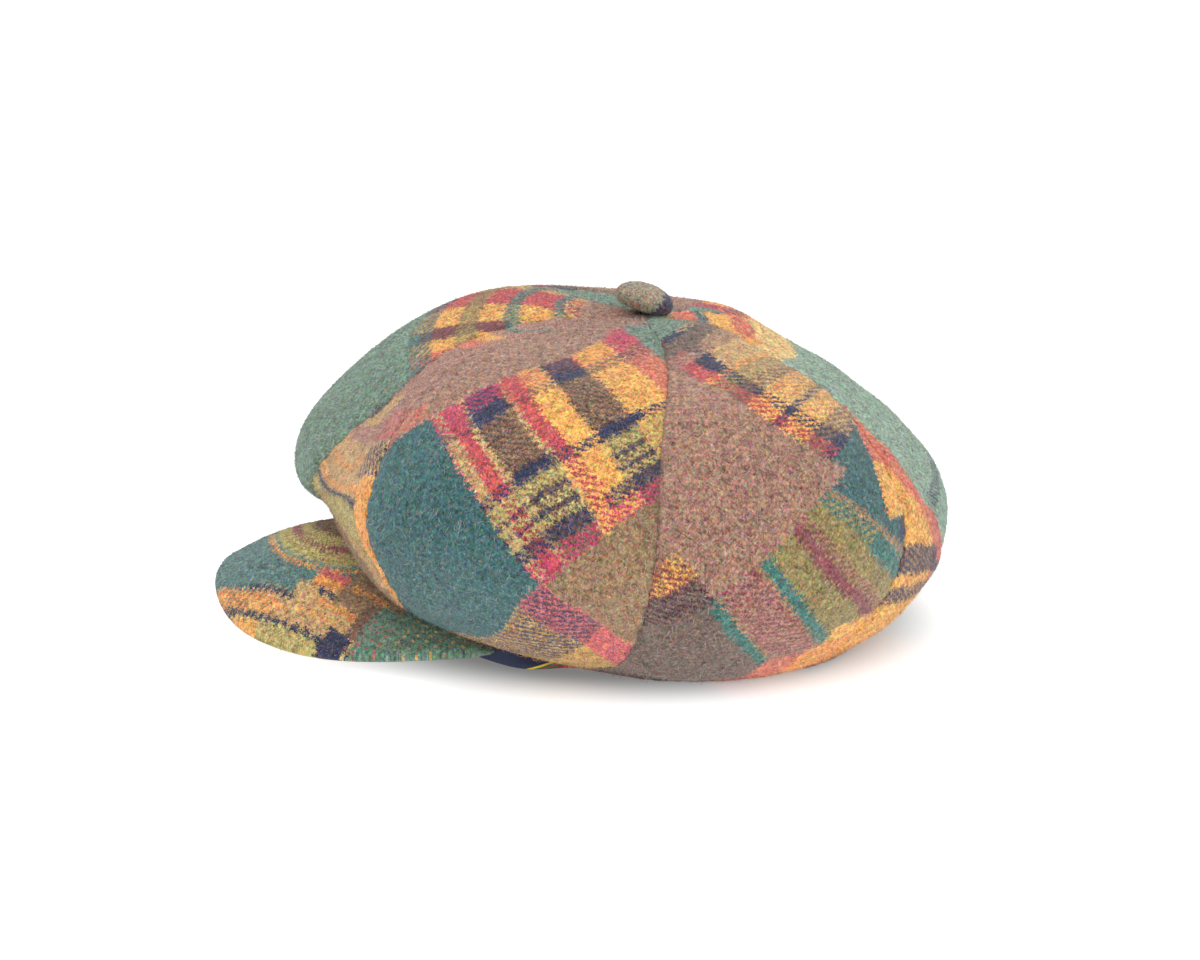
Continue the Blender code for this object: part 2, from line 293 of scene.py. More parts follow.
def facing(place, travel):
    """Unit normal of the taut crown, pointing out of the cap."""
    across = tight_crown(place + TINY, travel) - tight_crown(place - TINY, travel)
    lower = tight_crown(place, np.minimum(travel + TINY, 1))
    upper = tight_crown(place, np.maximum(travel - TINY, 0))
    normal = np.cross(lower - upper, across)
    return normal / np.linalg.norm(normal, axis=-1, keepdims=True)


def swelling(place, travel):
    """How far the cloth stands out of the taut crown: the panel's puff and its folds."""
    panel = np.clip(np.floor(place).astype(int), 0, PANELS - 1)
    pillow = np.sin(math.pi * (place - panel)) ** PUFF_SHAPE
    top, side, under = (np.array(PUFF_ROWS)[panel][..., i : i + 1] for i in range(3))
    none = np.zeros_like(top)
    stations = [none, top, (top + side) / 2, side, under, none]
    total = through_stations(stations, travel)[..., 0] * pillow
    for middle, length, place_span, travel_span, depth in FOLD_ROWS:
        off = (place - middle + PANELS / 2) % PANELS - PANELS / 2
        total = total + depth * np.exp(-((off / place_span) ** 2) - ((travel - length) / travel_span) ** 2)
    ends = np.clip((1 - travel) / (1 - STATIONS[-2]), 0, 1)
    return total * CROWN_REACH * ends


def crown(place, travel, depth=0.0, relief=0.0):
    """Point of the crown at a depth under its outer face with its relief, kept above the table."""
    normal = facing(place, travel)
    outer = tight_crown(place, travel) + normal * (swelling(place, travel) + relief)[..., None]
    outer[..., 2] = np.maximum(outer[..., 2], 0.0)
    flat = np.clip(outer[..., 2:] / CLOTH_WALL, 0, 1)
    normal = normal * flat + np.array((0.0, 0.0, -1.0)) * (1 - flat)
    normal = normal / np.linalg.norm(normal, axis=-1, keepdims=True)
    return outer - normal * np.asarray(depth)[..., None]


def peak_face(across, out):
    """Point on the peak's lower face: across from -1, right, to 1, left, and out from root to edge."""
    spread = (PEAK_SPREAD + PEAK_TUCK) / 360 * PANELS
    place = across * spread
    root = opening(place, hem_height(place) - SEAM_GAP - PEAK_WALL, SEAM_GAP)
    bend = across * math.pi / 2
    front = np.maximum(np.cos(bend), 0.0)
    end = opening(spread, 0.0, PEAK_END)
    reach = OPENING_LENGTH / 2 + PEAK_TIP + end[1]
    lift = PEAK_TIP_LIFT * front**3.5 + PEAK_END_LIFT * abs(across) ** 3.3
    half = end[0] * np.sin(bend) * (1 - PEAK_WAIST * front)
    sides = (half, end[1] - reach * front**PEAK_BLUNT, lift)
    edge = np.stack(sides, axis=-1)
    point = root + (edge - root) * out[..., None]
    point[..., 2] += PEAK_SWELL * np.sin(math.pi * out) * front
    return point


def middle_of_opening():
    """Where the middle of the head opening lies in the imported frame."""
    low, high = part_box("sweatband")
    return np.array(((low.x + high.x) / 2, (low.y + high.y) / 2, 0.0))


MIDDLE = middle_of_opening()


# Materials

class Socket:
    """A shader socket that takes part in sums. Numbers stay numbers, and each sum adds a Math node."""

    def __init__(self, shader, link):
        self.shader = shader
        self.link = link

    def maths(self, operation, *others):
        return self.shader.node("ShaderNodeMath", {"operation": operation}, (self, *others))[0]

    def __add__(self, other):
        return self.maths("ADD", other)

    __radd__ = __add__

    def __sub__(self, other):
        return self.maths("SUBTRACT", other)

    def __rsub__(self, other):
        return self.shader.node("ShaderNodeMath", {"operation": "SUBTRACT"}, (other, self))[0]

    def __mul__(self, other):
        return self.maths("MULTIPLY", other)

    __rmul__ = __mul__

    def __truediv__(self, other):
        return self.maths("DIVIDE", other)

    def __gt__(self, other):
        return self.maths("GREATER_THAN", other)

    def __lt__(self, other):
        return self.maths("LESS_THAN", other)

    def floor(self):
        return self.maths("FLOOR")

    def absolute(self):
        return self.maths("ABSOLUTE")

    def wrap(self, size):
        return self.shader.node("ShaderNodeMath", {"operation": "WRAP"}, (self, size, 0.0))[0]

    def clamp(self):
        return self.shader.node("ShaderNodeClamp", {}, (self, 0.0, 1.0))[0]


class Shader:
    """A material under construction."""

    def __init__(self, name):
        self.material = bpy.data.materials.new(name)
        self.material.use_nodes = True
        self.nodes = self.material.node_tree.nodes
        self.links = self.material.node_tree.links
        self.nodes.clear()

    def node(self, kind, settings=None, values=()):
        """Adds a node with its settings, then its values or links by order or name. Returns its outputs."""
        made = self.nodes.new(kind)
        for key, value in (settings or {}).items():
            if key == "stops":
                self.set_stops(made.color_ramp, value)
            else:
                setattr(made, key, value)
        pairs = values.items() if isinstance(values, dict) else enumerate(values)
        for key, value in pairs:
            if isinstance(value, Socket):
                self.links.new(value.link, made.inputs[key])
            else:
                made.inputs[key].default_value = value
        return [Socket(self, output) for output in made.outputs]

    def set_stops(self, ramp, stops):
        ramp.interpolation = "CONSTANT"
        while len(ramp.elements) < len(stops):
            ramp.elements.new(1.0)
        while len(ramp.elements) > len(stops):
            ramp.elements.remove(ramp.elements[-1])
        for element, (position, colour) in zip(ramp.elements, stops):
            element.position = position
            element.color = colour

    def mix(self, factor, first, second, blend="MIX"):
        settings = {"data_type": "RGBA", "blend_type": blend, "clamp_result": False}
        values = {0: factor, 6: first, 7: second}
        return self.node("ShaderNodeMix", settings, values)[2]

    def noise(self, place, size, detail=2.0, roughness=0.5, distortion=0.0):
        """Noise of features about this many metres across: its value and its colour."""
        values = {
            "Vector": place, "Scale": 1 / size, "Detail": detail,
            "Roughness": roughness, "Distortion": distortion,
        }
        return self.node("ShaderNodeTexNoise", {}, values)

    def object_place(self):
        return self.node("ShaderNodeTexCoord")[3]

    def map_place(self, name):
        """The two measures of a UV map."""
        spot = self.node("ShaderNodeUVMap", {"uv_map": name})[0]
        return self.node("ShaderNodeSeparateXYZ", {}, (spot,))[:2]

    def measure(self, name):
        return self.node("ShaderNodeAttribute", {"attribute_name": name})[2]

    def bump(self, height, distance, strength):
        values = {"Strength": strength, "Distance": distance, "Height": height}
        return self.node("ShaderNodeBump", {}, values)[0]

    def surface(self, values):
        """Closes the material with a surface of these values."""
        made = self.node("ShaderNodeBsdfPrincipled", {}, values)[0]
        self.node("ShaderNodeOutputMaterial", {}, {"Surface": made})
        return self.material

    def finish(self, colour, roughness, normal, sheen, sheen_tint):
        """Closes the material as cloth, with a sheen."""
        return self.surface({
            "Base Color": colour, "Roughness": roughness, "Normal": normal,
            "Sheen Weight": sheen, "Sheen Roughness": 0.5, "Sheen Tint": sheen_tint,
            "Specular IOR Level": 0.15,
        })


# Yarns, as linear colours
YARNS = {
    "teal": (0.045, 0.125, 0.130),
    "bright_teal": (0.050, 0.170, 0.150),
    "grey_green": (0.155, 0.240, 0.185),
    "sea_green": (0.250, 0.360, 0.280),
    "pale_green": (0.300, 0.380, 0.280),
    "taupe": (0.330, 0.185, 0.135),
    "pink_taupe": (0.400, 0.210, 0.165),
    "olive_brown": (0.280, 0.175, 0.100),
    "brown": (0.175, 0.105, 0.072),
    "dark_brown": (0.080, 0.052, 0.045),
    "grey_brown": (0.165, 0.115, 0.095),
    "mustard": (0.520, 0.300, 0.095),
    "yellow": (0.720, 0.370, 0.100),
    "pale_yellow": (0.700, 0.480, 0.200),
    "orange": (0.720, 0.300, 0.080),
    "coral": (0.600, 0.170, 0.110),
    "red": (0.480, 0.075, 0.085),
    "rose": (0.570, 0.125, 0.130),
    "magenta": (0.420, 0.040, 0.115),
    "maroon": (0.180, 0.050, 0.060),
    "purple": (0.085, 0.040, 0.055),
    "navy": (0.028, 0.036, 0.085),
    "olive": (0.270, 0.210, 0.085),
    "lime": (0.430, 0.350, 0.130),
    "tan": (0.520, 0.330, 0.150),
    "plum": (0.270, 0.085, 0.095),
    "copper": (0.420, 0.210, 0.100),
    "umber": (0.300, 0.165, 0.095),
    "peak_green": (0.125, 0.225, 0.165),
    "peak_teal": (0.095, 0.185, 0.178),
    "heather": (0.300, 0.255, 0.185),
    "rust": (0.400, 0.130, 0.040),
    "pine": (0.050, 0.125, 0.100),
    "lint": (0.720, 0.680, 0.620),
    "bare": (0.5, 0.5, 0.5),
    "ribbon_navy": (0.030, 0.040, 0.085),
    "ribbon_yellow": (0.750, 0.560, 0.080),
    "ribbon_green": (0.020, 0.160, 0.070),
    "ribbon_red": (0.450, 0.030, 0.045),
}

# A cloth is a chart in millimetres. Warp rows are (start, yarn). Weft rows are (start, yarn, cover), where
# cover is 0 for a weft that does not show, 0.5 for a twill of both yarns and 1 for a weft that hides the
# warp. Blocks are (warp from, warp to, weft from, weft to, yarn, yarn), a twill of two yarns. Strips are
# the same, of one yarn, in the piece's own measures: across a panel from its middle and along from its tip,
# or the straight ones of lay_peak. Dots are (across from, across to, along from, along to, pitch across,
# pitch along, yarn).
FAR = 400.0
HIDDEN_WEFT = ((-FAR, "bare", 0.0),)
Cloth = namedtuple("Cloth", "warp weft blocks strips dots", defaults=(HIDDEN_WEFT, (), (), ()))

FRONT_SIDE_CLOTH = Cloth(
    warp=(
        (-FAR, "yellow"), (-187, "mustard"), (-146, "rose"), (-128, "tan"),
        (-123, "red"), (-116, "tan"), (-113, "brown"), (-97.5, "tan"), (-95.5, "red"),
        (-88.5, "yellow"), (-77.5, "brown"), (-64, "yellow"), (-48, "coral"), (-34, "grey_green"),
    ),
    weft=(
        (-FAR, "taupe", 1.0), (0, "magenta", 0.5), (9.8, "navy", 0.4), (15.8, "bare", 0.0),
        (43, "navy", 0.5), (48, "lime", 0.7), (54, "navy", 0.5), (56, "lime", 0.5),
        (60, "navy", 0.6), (62, "lime", 0.5), (65.5, "navy", 0.7), (72, "magenta", 0.5),
        (79, "navy", 0.5), (101.5, "bare", 0.0),
    ),
    blocks=(
        (-FAR, -128, 0, 79, "teal", "teal"),
        (-44, -30, 0, 9, "red", "magenta"),
        (-62, -46, 0, 9, "yellow", "orange"),
        (-77, -64, 0, 10, "maroon", "navy"),
        (-88, -77, 0, 12, "yellow", "coral"),
        (-96, -88, 0, 14, "red", "red"),
        (-113, -98, 0, 10, "magenta", "navy"),
        (-124, -115, 0, 14, "red", "magenta"),
        (-113, -98, 10, 17, "navy", "navy"),
        (-77, -65, 10, 16, "navy", "navy"),
        (-113, -98, 17, 43, "umber", "dark_brown"),
        (-77, -65, 16, 43, "umber", "dark_brown"),
        (-113, -98, 43, 48, "navy", "navy"),
        (-77, -60, 43, 48, "navy", "navy"),
        (-88, -78, 48, 66, "yellow", "yellow"),
        (-64, -48, 48, 58, "yellow", "lime"),
        (-95, -88, 48, 79, "red", "yellow"),
        (-127, FAR, 79, FAR, "olive_brown", "olive_brown"),
        (-32, FAR, 2, 40, "grey_green", "grey_green"),
        (-FAR, -128, -8, 0, "coral", "taupe"),
    ),
)
BACK_SIDE_CLOTH = Cloth(
    warp=(
        (-FAR, "grey_brown"), (-153.5, "bright_teal"), (-149.2, "copper"), (-148, "plum"),
        (-133.5, "copper"), (-132.4, "bright_teal"), (-127.6, "olive"), (-116, "plum"), (-109, "olive"),
        (-101, "bright_teal"), (-95, "copper"), (-93.6, "bright_teal"), (-84, "red"), (-78, "navy"),
        (-72, "tan"),
    ),
    weft=(
        (-FAR, "grey_green", 1.0), (31, "navy", 0.5), (35, "grey_brown", 1.0), (44, "taupe", 0.7),
        (53, "bare", 0.0), (66.5, "orange", 0.5), (70, "olive", 0.5), (78, "brown", 0.5),
        (86, "orange", 0.5), (91, "yellow", 0.5), (98, "navy", 0.5), (101, "yellow", 0.5),
        (112, "brown", 0.5), (120, "navy", 0.5), (126, "bare", 0.0),
    ),
    blocks=(
        (-93, FAR, 126, FAR, "teal", "teal"),
        (-FAR, -84, -FAR, 133.5, "taupe", "taupe"),
        (-FAR, -150, 112, 124, "yellow", "maroon"),
        (-FAR, -150, 124, 137, "purple", "grey_brown"),
        (-148, -134, 133.5, FAR, "plum", "taupe"),
        (-116, -111, 133.5, FAR, "plum", "maroon"),
        (-111, -108, 133.5, FAR, "plum", "olive"),
        (-101, -95, 133.5, 160, "bright_teal", "olive"),
    ),
    strips=(
        (4, FAR, 221, FAR, "coral"), (28, FAR, 208, FAR, "yellow"), (20, FAR, 219, FAR, "orange"),
        (43, FAR, 112, 140, "coral"), (43, FAR, 140, 164, "yellow"), (52, FAR, 164, 174, "navy"),
    ),
)
FRONT_CLOTH = Cloth(
    warp=(
        (-FAR, "pink_taupe"), (50, "grey_green"), (54, "pink_taupe"), (60, "yellow"), (67, "coral"),
        (75, "pink_taupe"), (108, "tan"), (126, "pink_taupe"), (136, "tan"), (147, "orange"),
        (149, "tan"), (158, "orange"), (160, "tan"), (163, "navy"), (166, "lime"), (187, "tan"),
        (196, "olive_brown"),
    ),
    blocks=(
        (108, 124, -FAR, -36, "navy", "dark_brown"),
        (54, 142, 8, FAR, "pink_taupe", "pink_taupe"),
        (130, 142, 36, FAR, "pink_taupe", "rose"),
        (142, 154, 36, FAR, "navy", "tan"),
        (155, FAR, 44, FAR, "orange", "yellow"),
        (198, FAR, 44, FAR, "coral", "orange"),
    ),
)
FAR_FRONT_CLOTH = Cloth(
    warp=(
        (-FAR, "rose"), (-25, "tan"), (-12, "red"), (5, "yellow"), (22, "maroon"), (32, "yellow"),
        (42, "coral"), (52, "pink_taupe"),
    ),
    weft=(
        (-FAR, "taupe", 1.0), (25, "tan", 0.5), (31, "bright_teal", 0.75), (36, "bare", 0.0),
        (50, "bright_teal", 0.75), (57, "bare", 0.0), (69, "olive", 0.75), (79, "bare", 0.0),
        (90, "teal", 0.6), (97, "bright_teal", 0.7), (102, "grey_green", 1.0),
    ),
)
BACK_CLOTH = Cloth(
    warp=((-FAR, "yellow"), (-4, "coral"), (4, "sea_green")),
    weft=(
        (-FAR, "tan", 1.0), (8, "coral", 1.0), (16, "bright_teal", 1.0), (21, "yellow", 1.0),
        (36, "orange", 1.0), (50, "pale_yellow", 1.0), (64, "pale_green", 0.5), (70, "bare", 0.0),
        (166, "navy", 0.8), (177, "bare", 0.0), (181, "navy", 0.7), (187, "bare", 0.0),
        (210, "orange", 0.5), (225, "grey_brown", 1.0),
    ),
    blocks=((4, FAR, 152, 172, "rose", "coral"),),
)
FAR_BACK_CLOTH = Cloth(
    warp=((-FAR, "sea_green"), (34, "rose"), (42, "yellow")),
    weft=(
        (-FAR, "tan", 1.0), (7, "coral", 1.0), (20, "teal", 1.0), (25, "yellow", 1.0),
        (38, "coral", 1.0), (48, "pale_yellow", 1.0), (70, "bare", 0.0), (150, "navy", 0.5),
        (156, "bare", 0.0), (180, "mustard", 0.5), (200, "grey_brown", 1.0),
    ),
)
PEAK_CLOTH = Cloth(
    warp=(
        (-FAR, "olive_brown"), (24, "brown"), (27, "lime"), (33, "plum"), (37, "lime"),
        (44, "grey_green"), (46, "orange"), (47.5, "peak_teal"),
    ),
    blocks=((33, 37, 22, 60, "plum", "lime"),),
    strips=(
        (112, FAR, -FAR, -90, "olive_brown"), (108.5, FAR, -91, -72, "tan"), (103, FAR, -73, -66, "tan"),
        (94, FAR, -67, FAR, "tan"), (109, 111, -96, -70, "navy"), (94, 98, -67, -50, "rose"),
        (114, 116, -FAR, -70, "orange"), (117.5, 119, -FAR, -74, "orange"),
        (112, 113, -FAR, -80, "orange"), (98, 102, -68, -50, "orange"), (103, 105, -62, -42, "navy"),
        (107.5, 109.5, -60, -36, "orange"), (113, 114, -66, -44, "orange"),
        (-FAR, 106, -52, -20, "olive_brown"), (96, 98, -48, -30, "orange"),
        (120, 121.8, -FAR, FAR, "navy"), (121.8, FAR, -FAR, FAR, "lime"), (123, FAR, -100, -78, "yellow"),
        (115, FAR, -45, -33, "navy"), (100, 116, -37, -30, "brown"), (98, FAR, -31, FAR, "peak_green"),
        (88, FAR, -21, FAR, "peak_green"),
    ),
    dots=((104, FAR, -33, -17, 3.4, 4.2, "red"), (90, FAR, -16, 12, 3.0, 4.8, "yellow")),
)
BUTTON_CLOTH = Cloth(warp=((-FAR, "heather"), (7, "navy")))


def bow(along, straight, slope, start, ease):
    """A line that runs along a panel and bends over past start, as cloth on the bias does. Millimetres."""
    return straight - slope * ease * np.log1p(np.exp((along - start) / ease))


# How each panel lies on its chart: a place on the panel, across and along in millimetres, gives the places
# on the warp and the weft rows. The warp crosses or follows the panel at the angle of its cut.
FRONT_SIDE_CUT = math.radians(42)
BACK_SIDE_CUT = math.radians(33)
CUT_SPREAD = 12.0          # how far across from the middle the lines begin to spread


def lay_front_side(across, along):
    warp = across * math.sin(FRONT_SIDE_CUT) - along * math.cos(FRONT_SIDE_CUT)
    line = bow(along, 6.0, 0.97, 87.0, 16.0) + bow(along, 0.0, -0.47, 182.0, 8.0)
    return warp, 0.75 * (across - line) - 0.12 * np.maximum(across - CUT_SPREAD, 0.0)


def lay_back_side(across, along):
    warp = 0.70 * (across - bow(along, -15.0, -1.0, 95.0, 6.0)) - 75.0
    fan = 0.0048 * np.maximum(across - CUT_SPREAD, 0.0) * (warp + 131.0)
    weft = across * math.sin(BACK_SIDE_CUT) + along * math.cos(BACK_SIDE_CUT)
    return warp - fan, weft


def lay_front(across, along):
    return along, across


def lay_far_front(across, along):
    return across + 0.25 * (along - 50.0), along


def lay_back(across, along):
    return 0.70 * (across - bow(along, -47.0, -1.0, 140.0, 6.0)), along


def lay_far_back(across, along):
    return across, along


def lay_side_back_right(across, along):
    return lay_front_side(-across, along + 12.0)


def lay_side_front_right(across, along):
    return lay_back_side(-across, along - 8.0)


LAYS = (
    (FRONT_CLOTH, lay_front),
    (FRONT_SIDE_CLOTH, lay_front_side),
    (BACK_SIDE_CLOTH, lay_back_side),
    (BACK_CLOTH, lay_back),
    (FAR_BACK_CLOTH, lay_far_back),
    (FRONT_SIDE_CLOTH, lay_side_back_right),
    (BACK_SIDE_CLOTH, lay_side_front_right),
    (FAR_FRONT_CLOTH, lay_far_front),
)

# The weave, in millimetres
THREAD = 0.85              # between threads
TWILL_THREADS = 4.0        # from one twill line to the next
TANGLE = 4.4               # how far brushing has pulled the floats out of line
FUZZ = 5.0                 # how far the brushed nap blurs a stripe's edge
DRIFT = 4.0                # how far a stripe wanders
STEP = 1.4                 # how far the twill's floats step a stripe's edge
FIBRE_THICK = 0.62
FIBRE_LONG = 3.2
FIBRE_WAYS = (-55.0, 0.0, 50.0)
DOT_FUZZ = 1.5
DOT_WIDTH = 0.36           # shares of the dots' pitches across and along
DOT_LENGTH = 0.30
DOT_COVER = 0.85

# Sizes of the wool's noises, in metres
FUZZ_SIZE = 0.0014
DRIFT_SIZE = 0.022
TINT_SIZE = 0.0013
FLECK_SIZE = 0.0019
MOTTLE_SIZE = 0.0034
BLOTCH_SIZE = 0.03
# Colour of the painted shade along the seams
SEAM_PAINTED_SHADE = (0.05, 0.035, 0.03, 1.0)
WOOL_SHEEN = (1.0, 0.98, 0.95, 1.0)

# The ribbon, in metres
RIB_PITCH = 0.0008
RIBBON_GRAIN = 0.0004
RIBBON_SHEEN = (0.8, 0.85, 1.0, 1.0)
# Its stripes, in millimetres from its lower edge
RIBBON_ROWS = (
    (-FAR, "ribbon_red"), (0.9, "ribbon_green"), (1.6, "ribbon_red"), (2.0, "ribbon_green"),
    (2.5, "ribbon_yellow"), (3.2, "ribbon_navy"),
)


def window(value, low, high):
    """Mask of a value from low to high, open where an end is FAR."""
    if low <= -FAR and high >= FAR:
        return 1.0
    if low <= -FAR:
        return value < high
    if high >= FAR:
        return value > low
    return (value > low) * (value < high)


def ramp_of(shader, value, rows):
    """Colour and cover of a chart's rows at a value in millimetres."""
    low = rows[1][0] - 10 if len(rows) > 1 else 0
    high = rows[-1][0] + 10 if len(rows) > 1 else 1
    stops = []
    for row in rows:
        cover = row[2] if len(row) > 2 else 1.0
        stops.append((min(max((row[0] - low) / (high - low), 0), 1), (*YARNS[row[1]], cover)))
    place = (value - low) / (high - low)
    return shader.node("ShaderNodeValToRGB", {"stops": stops}, (place.clamp(),))


def yarn(name):
    return (*YARNS[name], 1.0)


def laid_fibres(shader, across, length):
    """Fibres brushed in three directions: how far the light and dark ones show, about 0."""
    highest = lowest = None
    for number, degrees in enumerate(FIBRE_WAYS):
        cosine, sine = math.cos(math.radians(degrees)), math.sin(math.radians(degrees))
        thick = (across * cosine + length * sine) / FIBRE_THICK
        long = (length * cosine - across * sine) / FIBRE_LONG
        place = shader.node("ShaderNodeCombineXYZ", {}, (thick, long, number * 7.3))[0]
        value = shader.noise(place, 1.0, 2.0, 0.65, 0.5)[0]
        highest = value if highest is None else highest.maths("MAXIMUM", value)
        lowest = value if lowest is None else lowest.maths("MINIMUM", value)
    return highest + lowest - 1


def woven(shader, cloth, across, length, fuzz, drift):
    """The chart's colour with its twill and its brushed edges, and the twill itself."""
    warp, weft = shader.map_place("weave")
    warp = warp / MM + (drift[0] - 0.5) * DRIFT
    weft = weft / MM + (drift[1] - 0.5) * DRIFT
    warp_thread = ((warp + (fuzz[0] - 0.5) * TANGLE) / THREAD).floor()
    weft_thread = ((weft + (fuzz[1] - 0.5) * TANGLE) / THREAD).floor()
    phase = (warp_thread - weft_thread).wrap(TWILL_THREADS)
    twill = (1.9 - phase + (fuzz[2] - 0.5) * 2.6).clamp()
    step = (twill - 0.5) * STEP
    warp = warp + (fuzz[0] - 0.5) * FUZZ + step
    weft = weft + (fuzz[1] - 0.5) * FUZZ - step
    warp_yarn = ramp_of(shader, warp, cloth.warp)[0]
    weft_yarn, cover = ramp_of(shader, weft, cloth.weft)
    colour = shader.mix((cover * 2 - 1 + twill).clamp(), warp_yarn, weft_yarn)
    for warp_low, warp_high, weft_low, weft_high, first, second in cloth.blocks:
        inside = window(warp, warp_low, warp_high) * window(weft, weft_low, weft_high)
        pair = yarn(first) if first == second else shader.mix(twill, yarn(first), yarn(second))
        colour = shader.mix(inside, colour, pair)
    strip_across = across + step + (fuzz[0] - 0.5) * FUZZ
    strip_length = length + step + (fuzz[1] - 0.5) * FUZZ
    for low, high, start, end, name in cloth.strips:
        inside = window(strip_across, low, high) * window(strip_length, start, end)
        colour = shader.mix(inside, colour, yarn(name))
    for low, high, start, end, pitch_across, pitch_along, name in cloth.dots:
        inside = window(strip_across, low, high) * window(strip_length, start, end)
        row = ((across + (fuzz[0] - 0.5) * DOT_FUZZ) / pitch_across).wrap(1.0) < DOT_WIDTH
        column = ((length + (fuzz[1] - 0.5) * DOT_FUZZ) / pitch_along).wrap(1.0) < DOT_LENGTH
        colour = shader.mix(inside * row * column * DOT_COVER, colour, yarn(name))
    return colour, twill


def tinted(shader, colour, spread, strength):
    """A colour times a noise colour, which shifts its red, green and blue about 1."""
    factors = shader.node(
        "ShaderNodeVectorMath", {"operation": "MULTIPLY_ADD"},
        (spread, (strength,) * 3, (1 - strength / 2,) * 3),
    )[0]
    return shader.mix(1.0, colour, factors, "MULTIPLY")


def wool(name, cloth, heather=1.0):
    """Brushed wool: its chart, its mixed fibres, painted shade along its seams and the pale ends of its nap.

    Heather is how strongly the rust and pine flecks show.
    """
    shader = Shader(name)
    place = shader.object_place()
    across, length = shader.map_place("cut")
    across, length = across / MM, length / MM
    fuzz = shader.node("ShaderNodeSeparateColor", {}, (shader.noise(place, FUZZ_SIZE, 2.0, 0.6)[1],))
    drift = shader.node("ShaderNodeSeparateColor", {}, (shader.noise(place, DRIFT_SIZE, 1.0)[1],))
    colour, twill = woven(shader, cloth, across, length, fuzz, drift)

    laid = laid_fibres(shader, across, length)
    colour = tinted(shader, colour, shader.noise(place, TINT_SIZE, 2.0, 0.75)[1], 2.2)
    fleck = shader.noise(place, FLECK_SIZE, 2.0, 0.7)[0]
    edge = 0.10 - 0.02 * heather
    colour = shader.mix(((fleck - 0.5 - edge) * 7).clamp() * (0.40 * heather), colour, yarn("rust"))
    colour = shader.mix(((0.5 - edge - fleck) * 7).clamp() * (0.35 * heather), colour, yarn("pine"))
    mottle = shader.noise(place, MOTTLE_SIZE, 2.0, 0.6)[0]
    blotch = shader.noise(place, BLOTCH_SIZE, 2.0)[0]
    fibre = shader.measure("fibre")
    hair = (fibre > 0.01) * (fibre * 1.1 - 0.6)
    # The twill term is painted shade in the gaps between the twill's floats; the laid, mottle, blotch and
    # hair terms are tone that differs at random.
    value = 1.05 + laid * 2.8 + (mottle - 0.5) * 0.7 + (blotch - 0.5) * 0.4 + (twill - 0.5) * 0.24 + hair
    colour = shader.node(
        "ShaderNodeHueSaturation", {},
        {"Hue": 0.5 + (mottle - 0.5) * 0.08, "Saturation": 1.0, "Value": value.maths("MAXIMUM", 0.25),
         "Color": colour},
    )[0]
    seam = shader.measure("seam")
    # Painted shade in the fold of a seam, darkest right at the seam
    colour = shader.mix((1 - seam / 0.9).clamp() * 0.12, colour, SEAM_PAINTED_SHADE)
    pale = ((laid - 0.14) * 4).clamp() * 0.30 + ((fibre - 0.88) * 6).clamp() * 0.55
    colour = shader.mix(pale.clamp(), colour, yarn("lint"))

    height = twill * 0.3 + laid * 1.5 + fuzz[2] * 0.8
    return shader.finish(colour, 0.95, shader.bump(height, 0.0008, 0.6), 0.22, WOOL_SHEEN)


def grosgrain(name):
    """Navy ribbon with crosswise ribs and a narrow stripe along its lower edge."""
    shader = Shader(name)
    length, height = shader.map_place("weave")
    grain = shader.noise(shader.object_place(), RIBBON_GRAIN, 2.0)[0]
    height = height / MM + (grain - 0.5) * 0.3
    colour = ramp_of(shader, height, RIBBON_ROWS)[0]
    worn = shader.node("ShaderNodeHueSaturation", {}, {"Value": 0.5 + grain, "Color": colour})[0]
    colour = shader.mix(0.5, colour, worn)
    off = ((length / RIB_PITCH).wrap(1.0) - 0.5).absolute() * 2
    relief = 1 - off * off + grain * 0.3
    return shader.finish(colour, 0.55, shader.bump(relief, 0.0002, 0.8), 0.15, RIBBON_SHEEN)


# Meshes

def sheet_block(cells):
    """A flat block of cells, with each corner's share across, share along and layer, 0 outer, 1 inner."""
    bm = bmesh.new()
    bmesh.ops.create_grid(bm, x_segments=cells[0], y_segments=cells[1], size=0.5)
    layer = bmesh.ops.extrude_face_region(bm, geom=bm.faces[:], use_keep_orig=True)
    raised = [item for item in layer["geom"] if isinstance(item, bmesh.types.BMVert)]
    bmesh.ops.translate(bm, verts=raised, vec=(0.0, 0.0, 1.0))
    corners = np.array([vert.co[:] for vert in bm.verts])
    return bm, corners[:, 0] + 0.5, 0.5 - corners[:, 1], corners[:, 2]


def place_vertices(bm, points):
    for vert, point in zip(bm.verts, points):
        vert.co = point
    bmesh.ops.recalc_face_normals(bm, faces=bm.faces[:])


def settle_faces(bm):
    """Orders the faces by their vertices, because a spin leaves them in another order in each run."""
    bm.verts.index_update()
    order = sorted(bm.faces, key=lambda face: sorted(vert.index for vert in face.verts))
    for rank, face in enumerate(order):
        face.index = rank
    bm.faces.sort()


def finished(bm, name):
    """Turns a block into a mesh."""
    mesh = bpy.data.meshes.new(name)
    bm.to_mesh(mesh)
    bm.free()
    return mesh


def numbers(items, name, width, kind=np.float32):
    """A property of all the items, one row of this width for each."""
    values = np.empty(len(items) * width, kind)
    items.foreach_get(name, values)
    return values.reshape(-1, width)


def corner_numbers(mesh):
    """Vertex and face of each face corner."""
    corners = numbers(mesh.loops, "vertex_index", 1, int)[:, 0]
    counts = numbers(mesh.polygons, "loop_total", 1, int)[:, 0]
    return corners, np.repeat(np.arange(len(counts)), counts)


def set_map(mesh, name, places):
    """A UV map from one place for each face corner."""
    layer = mesh.uv_layers.new(name=name)
    layer.data.foreach_set("uv", np.ascontiguousarray(places, np.float32).ravel())


def set_measure(mesh, name, values):
    """A number for each vertex."""
    made = mesh.attributes.new(name, "FLOAT", "POINT")
    made.data.foreach_set("value", np.ascontiguousarray(values, np.float32))


